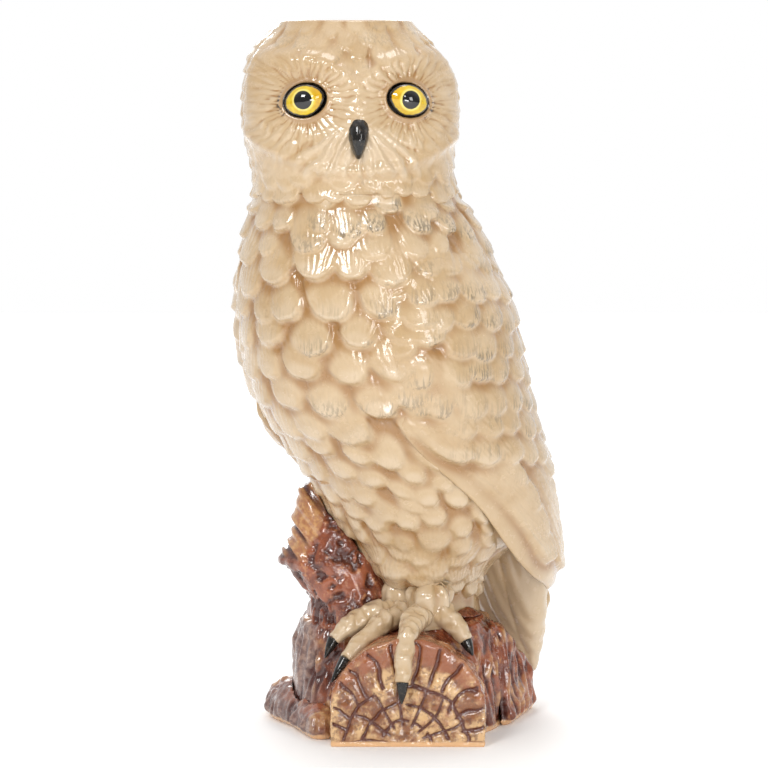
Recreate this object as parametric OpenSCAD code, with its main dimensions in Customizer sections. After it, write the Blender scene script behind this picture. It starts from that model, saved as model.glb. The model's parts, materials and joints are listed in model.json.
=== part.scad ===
// Owl figurine: a hollow slip-cast owl that perches on a tree stump with its head turned,
// and has a round mouth in its crown. It is put together the way a pottery does it, from
// separate castings and pressings that are stuck with slip and glazed over.
// The origin is on the ground under the middle of the stump. +Z is up, and the face
// looks along -Y. Left and right are the owl's own.

/* [Overall] */
// Height from the ground to the rim of the mouth
total_h = 400; // [250:10:600]
// Thickness of the cast walls
wall = 6; // [4:0.5:8]
// Gap left for slip where two curved pieces meet
slip = 0.3; // [0.2:0.1:0.5]

/* [Pose] */
// Angle that the breast is turned away from the front, towards the owl's right
body_yaw = 42; // [40:1:44]
// Angle that the face is turned from the front, towards the owl's left
head_yaw = 4; // [0:1:8]

/* [Mouth] */
// Radius of the round hole in the crown
mouth_r = 24; // [22:1:25]
// Length of the hole's straight wall
mouth_l = 9; // [6:1:9]

/* [Face] */
// Radius of an eye
eye_r = 11; // [9:0.5:12]
// How far an eye bulges
eye_dome = 4; // [3:0.5:5]
// Distance between the middles of the eyes
eye_gap = 56; // [50:1:60]
// Height of the middles of the eyes above the ground
eye_z = 357.5; // [353:0.5:361]

/* [Wings, tail and feet] */
// Thickness of a wing along its middle
wing_t = 6.5; // [5:0.5:8]
// Radius of a toe
toe_r = 5.2; // [4.5:0.1:6]
// Distance between the middles of the two legs
leg_gap = 20; // [16:1:24]

/* [Stump] */
// Radius of the log whose sawn end faces forwards
log_r = 43; // [38:1:46]
// Thickness of the stump's floor
floor_t = 9; // [7:1:12]
// Depth of the recess under the stump
recess = 2; // [2:0.5:4]
// Width of the ring that the stump stands on
foot_ring = 9; // [7:1:12]

/* [Hidden] */

design_h = 400;             // the tables below are for a figure of this height
k = total_h / design_h;

// Colours of the glazes
cream = [0.87, 0.78, 0.63];
bark = [0.42, 0.22, 0.14];
wood = [0.72, 0.50, 0.30];
black = [0.05, 0.05, 0.05];
yellow = [0.90, 0.75, 0.10];

across = [1, 0];
forwards = [0, -1];
facing = [-sin(body_yaw), -cos(body_yaw)];   // the way the breast looks
side = [cos(body_yaw), -sin(body_yaw)];      // towards the owl's left
head_front = [sin(head_yaw), -cos(head_yaw)];
head_side = [cos(head_yaw), sin(head_yaw)];

seam_low = 62;              // height where the body stands on the stump
seam_neck = 308;            // height where the head sits on the body
stump_front = -42;          // the stump is cut flat here, and the log's end is stuck on
log_front = -60;
log_spot = [5.5, 16.5];     // x and height of the log's middle
crown_spot = [-26, -36];    // middle of the mouth
face_shift = 0.4;           // how far the face's middle is to the owl's left of the mouth's
face_depth = 49.3;          // from the mouth's middle forwards to the rims of the eye sockets
eye_turn = 15;              // angle that each eye is turned outwards
leg_spot = [10, -12];       // middle of the ground between the legs
seat = 2.5;                 // depth of the sockets that the eyes are set in
far = 150;                  // reaches past the figure from any point inside it

// Cross-sections, lowest first. A row is a height, the middle's x and y, a half-width and
// a half-depth. The body's widths run along `side` and the head's along `head_side`.
body_rows = [
    [ 62, 24, 18, 20, 26],     [ 72, 22, 16, 22, 28],     [ 84, 21, 14, 27, 32],
    [ 92, 20, 12, 35, 37],     [106, 22, 11, 49, 52],     [120, 21, 9, 57, 61],
    [133, 18.5, 6.5, 61.5, 66.5], [161, 8, -1.5, 68, 73], [188, -3.5, -9, 72, 78.5],
    [221, -11, -16.5, 73, 80], [242, -13, -19, 72, 78.5], [262, -17, -24, 69.5, 74],
    [275, -18, -26, 67.5, 71], [288, -20, -28, 63.5, 65.5], [308, -24, -34, 56, 55]
];
// The folded wings and the tail keep to this outline, which stays wide below the belly.
cloak_rows = [
    [ 50, 31, 21, 52, 60],     [ 60, 30, 20, 54, 62],     [ 75, 28, 18.5, 56, 64],
    [ 90, 27, 17, 59, 66],     [106, 25, 13, 60, 67],     [120, 22, 9.5, 61.5, 67],
    [133, 19.5, 7, 62.5, 68],  [161, 8, -1.5, 68.3, 73.3], [188, -3.5, -9, 72.3, 78.8],
    [221, -11, -16.5, 73.3, 80.3], [242, -13, -19, 72.3, 78.8],
    [262, -17, -24, 69.8, 74.3], [275, -18, -26, 67.8, 71.3],
    [288, -20, -28, 63.8, 65.8]
];
head_rows = [
    [308, -24, -34, 56, 55],   [322, -25.5, -35, 56, 54], [336, -26.5, -36, 58.5, 54],
    [349, -26.5, -36, 60, 54], [364, -26.5, -36, 59, 53], [378, -26.5, -36, 54, 49],
    [390, -26.5, -36, 45, 42], [397, -26, -36, 36, 36],   [400, -26, -36, 31, 31]
];
head_hollow_rows = [
    [308, -24, -34, 50, 49],   [322, -25.5, -35, 50, 48], [349, -26.5, -36, 54, 47],
    [364, -27, -36, 52, 45],   [378, -27, -36, 44, 40],   [388, -26, -36, 28, 28],
    [391, -26, -36, 22, 22],   [400, -26, -36, 21, 21]
];
stump_rows = [
    [ 0, -0.5, 12, 60.5, 55],  [16, -0.5, 12, 60, 52],    [38, -1, 12, 58, 46],
    [54, -1, 12, 56, 40],      [60, -2, 12, 53, 37],      [62, -2, 12, 50, 34]
];
snag_rows = [
    [ 62, -29, 4, 23, 24],     [ 74, -28, 4, 23.5, 23],   [ 86, -34, 4, 25.5, 21],
    [ 96, -39.5, 3, 28, 19],   [104, -39, 3, 23, 17],     [116, -41, 3, 19, 15],
    [128, -46, 3, 11.5, 11],   [139, -51, 3, 3.5, 5]
];
tail_rows = [
    [ 20, 77, 54, 4, 3],       [ 34, 73, 54, 11, 6],      [ 60, 64, 52, 24, 9],
    [ 90, 60, 52, 28, 16],     [118, 57, 50, 28, 14],     [136, 52, 46, 20, 9]
];
beak_rows = [
    [326.5, -21.2, -91, 1, 2], [330, -21.2, -91, 3, 5.5], [336, -21.2, -90, 5.2, 8.5],
    [341, -21.2, -89, 6, 9],   [346, -21.2, -88, 5.4, 8], [349.5, -21.2, -87, 3, 4]
];

// A wing's rows are a height, the angles from `facing` to its front and back edges, and
// how thick it is for its wing_t. The two tips differ, as the right one crosses behind.
wing_rows = [
    [104, 82, 166, 1], [125, 71, 168, 1], [145, 60, 168, 1], [165, 49, 165, 1],
    [190, 44, 158, 1], [215, 42, 151, 1], [240, 43, 143, 0.9], [262, 48, 133, 0.7],
    [278, 60, 118, 0.4], [288, 78, 104, 0.15]
];
left_tip_rows = [
    [77, 122, 142, 0.5], [81, 107, 154, 0.8], [86, 98, 161, 1], [94, 90, 165, 1]
];
right_tip_rows = [
    [54, 180, 200, 0.4], [60, 165, 206, 0.8], [68, 148, 205, 1], [84, 122, 182, 1]
];

// A root is a chain of balls: x, y, height and radius.
left_root_balls = [
    [-66, 30, 7, 11], [-64, 14, 7, 11], [-54, -8, 8, 10], [-43, -36, 6, 9], [-47, 4, 22, 10]
];
right_root_balls = [
    [38, 2, 58, 9], [54, 10, 46, 10], [66, 30, 24, 11], [68, 40, 6, 12], [58, 0, 6, 9]
];

// The points along the middle of a toe. The last point is the tip of its claw.
left_front_toe = [
    [14, -22, 66], [8, -42, 64], [5, -56, 60], [3, -64, 50], [2.5, -66, 38], [2, -68, 26]
];
left_side_toe = [[19, -20, 67], [27, -24, 65], [35, -28, 59], [38, -30, 54], [42, -33, 46]];
right_front_toe = [
    [4, -16, 66], [-9, -30, 62], [-21, -40, 55], [-29, -47, 47], [-37, -53, 35]
];
right_side_toe = [
    [3, -12, 66], [-14, -20, 65], [-28, -27, 61], [-36, -31, 55], [-41, -35, 45]
];

// ---- functions ---------------------------------------------------------------------

function steps(from, to, n) = [for (i = [0 : n]) from + (to - from) * i / n];
function flip(list) = [for (i = [len(list) - 1 : -1 : 0]) list[i]];
function but_last(list) = [for (i = [0 : len(list) - 2]) list[i]];
function soft_corner(v, power) = sign(v) * abs(v) ^ power;

// A table's row at height z, on a smooth curve through the rows that the table holds.
function span_at(rows, z, i = 0) =
    i >= len(rows) - 2 || z < rows[i + 1][0] ? i : span_at(rows, z, i + 1);
function row_at(rows, z) = let (
    i = span_at(rows, z),
    a = rows[max(i - 1, 0)],
    b = rows[i],
    c = rows[i + 1],
    d = rows[min(i + 2, len(rows) - 1)],
    h = c[0] - b[0],
    t = (z - b[0]) / h,
    slope_b = (c - a) / (c[0] - a[0]),
    slope_c = (d - b) / (d[0] - b[0])
) (2*t^3 - 3*t^2 + 1) * b + (t^3 - 2*t^2 + t) * h * slope_b
    + (3*t^2 - 2*t^3) * c + (t^3 - t^2) * h * slope_c;

// The point at an angle round a row's oval, measured from v towards u, and moved out by
// grow. A power under 1 squares the oval's corners.
function round_row(row, u, v, angle, grow = 0, power = 1) = let (
    a = (row[3] + grow) * soft_corner(sin(angle), power),
    b = (row[4] + grow) * soft_corner(cos(angle), power)
) [row[1] + a * u.x + b * v.x, row[2] + a * u.y + b * v.y, row[0]];

// A closed outline round one row, and a stack of them at the heights given.
function ring(row, u, v, grow = 0, power = 1, sides = 36) =
    [for (j = [0 : sides - 1]) round_row(row, u, v, 360 * j / sides, grow, power)];
function rings(rows, heights, u, v, grow = 0, power = 1, sides = 36) =
    [for (z = heights) ring(row_at(rows, z), u, v, grow, power, sides)];
function body_rings(heights, grow = 0) = rings(body_rows, heights, side, facing, grow);

// Triangles between two rings of n points, which start at a and at b.
function band(a, b, n) = [
    for (j = [0 : n - 1], half = [0, 1]) let (m = (j + 1) % n)
        half == 0 ? [a + j, b + j, b + m] : [a + j, b + m, a + m]
];

// ---- solids made from rings --------------------------------------------------------

// A solid through a stack of rings, with flat ends.
module skin(stack) {
    n = len(stack[0]);
    top = (len(stack) - 1) * n;
    polyhedron(
        points = [for (r = stack, p = r) p],
        faces = concat(
            [[for (j = [0 : n - 1]) j]],
            [for (i = [0 : len(stack) - 2], f = band(i * n, (i + 1) * n, n)) f],
            [[for (j = [n - 1 : -1 : 0]) top + j]]
        )
    );
}

// A straight-sided solid between two heights, with one row's outline.
module slab(row, low, high, u, v, grow, power = 1)
    skin([for (z = [low, high])
        ring([z, row[1], row[2], row[3], row[4]], u, v, grow, power)]);

// A cast wall between an outer and an inner stack of rings, open at both ends.
module shell(outer, inner) {
    stack = concat(outer, flip(inner));
    n = len(stack[0]);
    count = len(stack);
    polyhedron(
        points = [for (r = stack, p = r) p],
        faces = [for (i = [0 : count - 1], f = band(i * n, ((i + 1) % count) * n, n)) f]
    );
}

// A round solid swept along a list of points, with a radius at each. up must not be
// along the sweep.
module sweep(points, radii, sides, up) {
    last = len(points) - 1;
    skin([
        for (i = [0 : last]) let (
            d = points[min(i + 1, last)] - points[max(i - 1, 0)],
            u = cross(up, d) / norm(cross(up, d)),
            v = cross(d, u) / norm(d)
        ) [
            for (j = [0 : sides - 1]) let (angle = 360 * j / sides)
                points[i] + radii[i] * (cos(angle) * u + sin(angle) * v)
        ]
    ]);
}

// Makes one mesh of a piece that is cut to fit curved neighbours, at the same size.
module fitted() resize([0, 0, 0]) children();

// ---- the stump ---------------------------------------------------------------------

// The log's sawn outline is round above its middle and straight-sided below.
module log_outline() {
    translate([-log_r, 0]) square([2 * log_r, log_spot[1]]);
    intersection() {
        translate([0, log_spot[1]]) circle(r = log_r, $fn = 96);
        translate([-log_r, 0]) square(2 * log_r);
    }
}

module log_length(front, back)
    translate([log_spot[0], back, 0]) rotate([90, 0, 0]) linear_extrude(back - front)
        log_outline();

module behind_front(margin = 0)
    translate([-far, stump_front + margin, -far]) cube(2 * far);

// The trunk stands up behind the log, which runs into it.
module stump_solid(grow = 0) {
    intersection() {
        skin(rings(stump_rows, [0, 8, 16, 27, 38, 46, 54, 60, seam_low],
            across, forwards, grow, 0.8));
        behind_front(-grow);
    }
    log_length(stump_front, 0);
}

// The hollow keeps clear of the flat front and draws in under the throat.
module stump_hollow() intersection() {
    skin([
        for (level = [[floor_t, -10], [16, -9], [38, -9], [50, -16], [55, -26]])
            ring(row_at(stump_rows, level[0]), across, forwards, level[1], 0.8)
    ]);
    behind_front(wall);
}

module stump() color(bark) scale(k) fitted() difference() {
    stump_solid();
    stump_hollow();
    slab(body_rows[0], 50, seam_low + 1, side, facing, -wall);
    intersection() {
        slab(stump_rows[0], -1, recess, across, forwards, -foot_ring, 0.8);
        behind_front(foot_ring);
    }
}

module log_end() color(wood) scale(k) log_length(log_front, stump_front);

module snag_solid(grow = 0)
    skin(rings(snag_rows, steps(seam_low, 139, 12), across, forwards, grow, 1, 20));

module snag() color(bark) scale(k) fitted() difference() {
    snag_solid();
    body_solid(slip);
}

module root_solid(balls, grow = 0)
    for (i = [0 : len(balls) - 3]) hull()
        for (b = [balls[i], balls[i + 1], balls[len(balls) - 1]])
            translate([b[0], b[1], b[2]]) sphere(r = b[3] + grow, $fn = 24);

module root(balls) fitted() difference() {
    root_solid(balls);
    translate([-far, -far, -far]) cube([2 * far, 2 * far, far]);
    stump_solid(slip);
    log_length(log_front, 0);
    body_solid(slip);
}

module left_root() color(bark) scale(k) root(left_root_balls);
module right_root() color(bark) scale(k) root(right_root_balls);

// ---- the owl's body and head -------------------------------------------------------

body_levels = steps(seam_low, seam_neck, 22);

// The body as a solid, to cut its neighbours with. It reaches a little below its seam.
module body_solid(grow = 0) skin(body_rings(concat([seam_low - 1], body_levels), grow));

module body_casting() color(cream) scale(k)
    shell(body_rings(body_levels), body_rings(body_levels, -wall));

// Puts something at an eye, with +Z looking out of it. which is 1 for the left eye.
module at_eye(which) {
    spot = crown_spot + (face_shift + which * eye_gap / 2) * head_side
        + face_depth * head_front;
    translate([spot.x, spot.y, eye_z]) rotate([90, 0, head_yaw + which * eye_turn])
        children();
}

module head_casting() color(cream) scale(k) difference() {
    outer = [308, 315, 322, 331, 340, 349, 357, 364, 371, 378, 384, 390, 394, 397, design_h];
    inner = [308, 322, 336, 349, 364, 372, 380, 388, 391, design_h];
    shell(rings(head_rows, outer, head_side, head_front, 0, 0.88),
        rings(head_hollow_rows, inner, head_side, head_front));
    translate([crown_spot.x, crown_spot.y, design_h - mouth_l])
        cylinder(r = mouth_r, h = mouth_l + 1, $fn = 96);
    for (which = [-1, 1])
        at_eye(which) translate([0, 0, -seat]) cylinder(r = eye_r + slip, h = far, $fn = 64);
}

module beak() color(black) scale(k) fitted() difference() {
    skin(rings(beak_rows, steps(326.5, 349.5, 9), head_side, head_front, 0, 1, 20));
    skin(rings(head_rows, steps(308, 360, 6), head_side, head_front, slip, 0.88));
}

// An eye is a low dome on a short round seat.
module eye(which) at_eye(which) rotate_extrude($fn = 64) {
    ball_r = (eye_r ^ 2 + eye_dome ^ 2) / (2 * eye_dome);
    translate([0, -seat]) square([eye_r, seat]);
    intersection() {
        translate([0, eye_dome - ball_r]) circle(r = ball_r, $fn = 128);
        square([eye_r, eye_dome]);
    }
}

module left_eye() color(yellow) scale(k) eye(1);
module right_eye() color(yellow) scale(k) eye(-1);

// ---- wings and tail ----------------------------------------------------------------

// One level of a wing: an outer and an inner line of points that follow the cloak.
// which is 1 for the left wing and -1 for the right. The inner line stands off by more
// than its chords sag, so it clears the body.
function wing_ring(row, which, grow) = let (
    n = 11,
    sag = 0.7,
    cloak = row_at(cloak_rows, row[0]),
    line = [
        for (j = [0 : 2 * n - 1]) let (
            outer = j < n,
            s = outer ? j / (n - 1) : (2 * n - 1 - j) / (n - 1),
            angle = row[1] - grow + (row[2] - row[1] + 2 * grow) * s,
            thick = wing_t * row[3] * (0.45 + 0.55 * sin(180 * s))
        ) round_row(cloak, side, facing, which * angle, sag + (outer ? thick + grow : -grow))
    ]
) which > 0 ? line : flip(line);

module wing(which, tip_rows, grow = 0) {
    rows = concat(tip_rows, wing_rows);
    low = rows[0][0];
    high = rows[len(rows) - 1][0];
    skin([for (z = steps(low, high, 24)) wing_ring(row_at(rows, z), which, grow)]);
}

module left_wing() color(cream) scale(k) wing(1, left_tip_rows);
module right_wing() color(cream) scale(k) wing(-1, right_tip_rows);

module tail() color(cream) scale(k) fitted() difference() {
    skin(rings(tail_rows, steps(20, 136, 12), side, facing, 0, 0.8, 20));
    body_solid(slip);
    stump_solid(slip);
    root_solid(right_root_balls, slip);
    wing(1, left_tip_rows, slip);
    wing(-1, right_tip_rows, slip);
}

// ---- feet --------------------------------------------------------------------------

module leg(which, grow = 0) {
    spot = leg_spot + which * leg_gap / 2 * side;
    sweep(
        [[spot.x, spot.y, seam_low - 3], [spot.x, spot.y, 72],
            [spot.x + 1, spot.y + 1, 84], [spot.x + 5, spot.y + 6, 98]],
        [for (r = [8.5, 8, 9, 11]) r + grow], 16, [1, 0, 0]
    );
}

module toe(points, grow = 0) {
    flesh = but_last(points);
    radii = [for (i = [0 : len(flesh) - 1]) toe_r * (i < len(flesh) - 1 ? 1 : 0.75) + grow];
    sweep(flesh, radii, 14, [0, 0, 1]);
}

module claw(points) color(black) scale(k) fitted() difference() {
    start = points[len(points) - 2];
    tip = points[len(points) - 1];
    sweep([start, (start + tip) / 2, tip], toe_r * [0.72, 0.5, 0.1], 12, [0, 0, 1]);
    toe(points);
    log_length(log_front, 0);
}

module foot(which, front_toe, side_toe) {
    leg(which);
    toe(front_toe);
    toe(side_toe);
}

// What the feet rest on and against.
module perch() {
    body_solid(slip);
    stump_solid();
    log_length(log_front, 0);
    snag_solid(slip);
    root_solid(right_root_balls, slip);
}

module left_foot() color(cream) scale(k) fitted() difference() {
    foot(1, left_front_toe, left_side_toe);
    perch();
}

module right_foot() color(cream) scale(k) fitted() difference() {
    foot(-1, right_front_toe, right_side_toe);
    perch();
    leg(1, slip);
    toe(left_front_toe, slip);
}

module left_front_claw() claw(left_front_toe);
module left_side_claw() claw(left_side_toe);
module right_front_claw() claw(right_front_toe);
module right_side_claw() claw(right_side_toe);

stump();
log_end();
snag();
left_root();
right_root();
body_casting();
head_casting();
left_wing();
right_wing();
tail();
left_foot();
right_foot();
left_front_claw();
left_side_claw();
right_front_claw();
right_side_claw();
beak();
left_eye();
right_eye();
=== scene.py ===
import json
import math

import bpy
import numpy as np
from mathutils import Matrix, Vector
from mathutils.bvhtree import BVHTree


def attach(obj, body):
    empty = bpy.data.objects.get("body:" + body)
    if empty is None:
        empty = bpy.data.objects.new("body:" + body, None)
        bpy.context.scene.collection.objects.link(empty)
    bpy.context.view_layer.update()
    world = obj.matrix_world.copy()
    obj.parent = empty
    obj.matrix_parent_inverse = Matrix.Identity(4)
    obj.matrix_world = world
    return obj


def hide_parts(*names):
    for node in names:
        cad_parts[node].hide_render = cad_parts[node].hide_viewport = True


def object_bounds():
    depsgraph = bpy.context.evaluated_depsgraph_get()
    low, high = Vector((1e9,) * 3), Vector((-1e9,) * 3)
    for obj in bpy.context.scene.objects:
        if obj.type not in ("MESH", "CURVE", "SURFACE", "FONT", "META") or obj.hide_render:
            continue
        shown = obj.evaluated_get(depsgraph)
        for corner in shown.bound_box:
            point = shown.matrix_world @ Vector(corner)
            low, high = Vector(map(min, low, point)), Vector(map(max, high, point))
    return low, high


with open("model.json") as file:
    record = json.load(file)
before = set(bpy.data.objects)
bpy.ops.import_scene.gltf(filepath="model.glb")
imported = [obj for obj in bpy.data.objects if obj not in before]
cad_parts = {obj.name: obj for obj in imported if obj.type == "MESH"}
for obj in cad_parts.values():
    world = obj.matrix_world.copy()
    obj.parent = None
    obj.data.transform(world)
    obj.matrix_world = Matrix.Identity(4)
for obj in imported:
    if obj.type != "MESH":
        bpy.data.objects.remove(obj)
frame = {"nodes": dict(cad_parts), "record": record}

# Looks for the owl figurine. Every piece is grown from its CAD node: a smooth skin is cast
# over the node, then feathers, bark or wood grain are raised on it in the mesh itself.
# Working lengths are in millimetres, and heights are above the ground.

cad_low, cad_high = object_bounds()
MM = 0.001
rng = np.random.default_rng(41)

# ---- pose and driving sizes, as in the CAD part ------------------------------------

mouth = next(m for m in frame["record"]["mounts"] if m["name"] == "mouth")
BODY_YAW = math.radians(42)
HEAD_YAW = math.radians(4)
FACING = np.array([-math.sin(BODY_YAW), -math.cos(BODY_YAW)])
SIDE = np.array([math.cos(BODY_YAW), -math.sin(BODY_YAW)])
HEAD_FRONT = np.array([math.sin(HEAD_YAW), -math.cos(HEAD_YAW)])
HEAD_SIDE = np.array([math.cos(HEAD_YAW), math.sin(HEAD_YAW)])
CROWN = np.round(np.array(mouth["pos_m"][:2]) / MM, 3)
MOUTH_R = mouth["dims"]["r_mm"]
MOUTH_L = mouth["dims"]["length_mm"]
RIM = round(cad_high[2] / MM, 3)
SEAM_LOW = 62.0              # where the body meets the stump
SEAM_NECK = 308.0            # where the head meets the body
RUFF_LOW = 299.2             # the head's ruff hangs over the body's seam to here
FACE_X = 0.4                 # the face's middle, to the owl's left of the crown's
FACE_DEPTH = 49.3            # from the crown's middle to the eyes
EYE_GAP = 56.0               # between the eyes' middles
EYE_Z = 357.5                # the eyes' height
EYE_TURN = math.radians(15)  # how far each eye turns out
SOCKET_R = 13.5              # the casting's eye sockets reach this far


# ---- numbers: noise, smoothing, sampling -------------------------------------------

def ease(low, high, x):
    """0 below low, 1 above high, and a smooth step between."""
    t = np.clip((x - low) / (high - low), 0, 1)
    return t * t * (3 - 2 * t)


def lattice(cell, seed):
    """A repeatable number from -1 to 1 for each whole-numbered cell."""
    h = cell[..., 0] * 374761393 + cell[..., 1] * 668265263 + cell[..., 2] * 2147483647
    h = (h + seed * 1274126177) & 0xFFFFFFFF
    h = ((h ^ (h >> 13)) * 1274126177) & 0xFFFFFFFF
    h = ((h ^ (h >> 16)) * 2246822519) & 0xFFFFFFFF
    return ((h ^ (h >> 15)) & 0xFFFF) / 32767.5 - 1


def noise(points, size, seed=0):
    """Smooth noise from -1 to 1. size is how big its lumps are, one number or x, y, z."""
    p = points / np.asarray(size, float)
    cell = np.floor(p).astype(np.int64)
    f = p - cell
    f = f * f * f * (f * (f * 6 - 15) + 10)
    total = 0
    for corner in np.ndindex(2, 2, 2):
        c = np.array(corner)
        weight = np.prod(np.where(c, f, 1 - f), axis=-1)
        total = total + weight * lattice(cell + c, seed)
    return total * 1.5


def layered(points, size, seed=0, layers=3):
    """Noise with finer layers added, each half the size and half the strength."""
    size = np.asarray(size, float)
    return sum(noise(points, size / 2 ** i, seed + i) / 2 ** i for i in range(layers))


def blur_matrix(n, sigma, wraps):
    """The matrix that smooths n even steps by sigma steps."""
    gap = np.abs(np.subtract.outer(np.arange(n), np.arange(n)))
    if wraps:
        gap = np.minimum(gap, n - gap)
    m = np.exp(-0.5 * (gap / sigma) ** 2)
    return m / m.sum(1, keepdims=True)


def blur(grid, down, across, wraps=True):
    """Smooths a grid of rows (heights) and columns (angles). Gaps, held as NaN, are filled."""
    known = np.isfinite(grid)
    a, b = blur_matrix(grid.shape[0], down, False), blur_matrix(grid.shape[1], across, wraps).T
    return (a @ np.where(known, grid, 0) @ b) / np.maximum(a @ known @ b, 1e-9)


def sample(grid, rows, columns):
    """Reads a grid between its points. Columns wrap round."""
    r = np.clip(rows, 0, grid.shape[0] - 1.001)
    c = np.mod(columns, grid.shape[1])
    r0, c0 = r.astype(int), c.astype(int)
    fr, fc = r - r0, c - c0
    c1 = (c0 + 1) % grid.shape[1]
    upper = grid[r0, c0] * (1 - fc) + grid[r0, c1] * fc
    lower = grid[r0 + 1, c0] * (1 - fc) + grid[r0 + 1, c1] * fc
    return upper * (1 - fr) + lower * fr


# ---- meshes ------------------------------------------------------------------------

def points_of(name):
    """A CAD node's corners, in millimetres."""
    data = frame["nodes"][name].data
    flat = np.empty(len(data.vertices) * 3)
    data.vertices.foreach_get("co", flat)
    return flat.reshape(-1, 3) / MM


def tree_of(name):
    """A CAD node as a tree that rays can be cast at."""
    data = frame["nodes"][name].data
    corners = [Vector(p) for p in points_of(name)]
    return BVHTree.FromPolygons(corners, [tuple(p.vertices) for p in data.polygons])


def stack_faces(levels, n, closed):
    """Quads between stacked rings of n points, and flat ends unless the stack closes."""
    j = np.arange(n)
    faces = []
    for i in range(levels if closed else levels - 1):
        a, b = i * n, ((i + 1) % levels) * n
        m = (j + 1) % n
        faces.append(np.stack([a + j, a + m, b + m, b + j], axis=1))
    quads = np.concatenate(faces).tolist()
    if not closed:
        quads += [list(range(n))[::-1], [(levels - 1) * n + k for k in range(n)]]
    return quads


def make(name, points, faces, material, marks, node):
    """Makes a finished piece from points in millimetres, with each mark's value at each
    point, to stand over a CAD node."""
    mesh = bpy.data.meshes.new(name)
    mesh.from_pydata((np.asarray(points) * MM).tolist(), [], faces)
    mesh.update()
    for mark, values in marks.items():
        store = mesh.attributes.new(mark, "FLOAT", "POINT")
        store.data.foreach_set("value", np.asarray(values, np.float32).ravel())
    mesh.shade_smooth()
    piece = bpy.data.objects.new(name, mesh)
    bpy.context.scene.collection.objects.link(piece)
    mesh.materials.append(material)
    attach(piece, "root")
    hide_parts(node)


def remeshed(name, voxel, rounds):
    """A CAD node as evenly spaced points, their outward directions, and faces."""
    source = frame["nodes"][name]
    spare = bpy.data.objects.new("spare", source.data.copy())
    bpy.context.scene.collection.objects.link(spare)
    step = spare.modifiers.new("even", "REMESH")
    step.mode = "VOXEL"
    step.voxel_size = voxel * MM
    if rounds:
        soften = spare.modifiers.new("soften", "SMOOTH")
        soften.factor = 0.5
        soften.iterations = rounds
    made = spare.evaluated_get(bpy.context.evaluated_depsgraph_get()).to_mesh()
    flat = np.empty(len(made.vertices) * 3)
    made.vertices.foreach_get("co", flat)
    out = np.empty(len(made.vertices) * 3)
    made.vertices.foreach_get("normal", out)
    faces = [tuple(p.vertices) for p in made.polygons]
    spare_mesh = spare.data
    bpy.data.objects.remove(spare)
    bpy.data.meshes.remove(spare_mesh)
    return flat.reshape(-1, 3) / MM, out.reshape(-1, 3), faces


# ---- shells cast over the body and the head ----------------------------------------

class Shell:
    """A grid of heights and angles round a CAD casting, on which its distances from the
    casting's middle are measured. Angles are in degrees from v towards u."""

    def __init__(self, name, low, high, step, columns, u, v):
        """u and v are the directions on the ground of 90 and 0 degrees."""
        self.z = np.arange(low, high + step / 2, step)
        self.phi = np.arange(columns) * 360 / columns
        self.step, self.u, self.v = step, u, v
        pts = points_of(name)
        height = np.round(pts[:, 2], 1)
        ring_size = 36                       # fewer corners than this aren't a whole ring
        levels = [h for h in np.unique(height) if np.sum(height == h) >= ring_size]
        mids = [(pts[height == h][:, :2].min(0) + pts[height == h][:, :2].max(0)) / 2
                for h in levels]
        self.levels, self.mids = np.array(levels), np.array(mids)
        self.Z, self.PHI = np.meshgrid(self.z, self.phi, indexing="ij")

    def middle(self, z):
        """The casting's middle on the ground plan at a height."""
        return np.stack([np.interp(z, self.levels, self.mids[:, i]) for i in (0, 1)], -1)

    def place(self, z, phi, radius):
        """The point at a height, an angle and a distance from the middle."""
        a = np.radians(phi)
        flat = (np.sin(a) * radius)[..., None] * self.u + (np.cos(a) * radius)[..., None] * self.v
        return np.concatenate([self.middle(z) + flat, np.asarray(z)[..., None]], axis=-1)

    def cast(self, name, outer=True, far=220.0):
        """Distances to a node's outer or inner surface, NaN where a ray misses it."""
        tree = tree_of(name)
        found = np.full(self.Z.shape, np.nan)
        for i, z in enumerate(np.clip(self.z, None, self.levels[-1] - 0.05)):
            mid = self.middle(z)
            for j, a in enumerate(np.radians(self.phi)):
                way = math.sin(a) * self.u + math.cos(a) * self.v
                ray = Vector((*way, 0))
                start = Vector((*mid, z))
                hit = tree.ray_cast(start + far * ray, -ray, far)[3] if outer \
                    else tree.ray_cast(start, ray, far)[3]
                if hit is not None:
                    found[i, j] = far - hit if outer else hit
        return found

    def row(self, z):
        return (z - self.z[0]) / self.step

    def column(self, phi):
        return phi * len(self.phi) / 360


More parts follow.
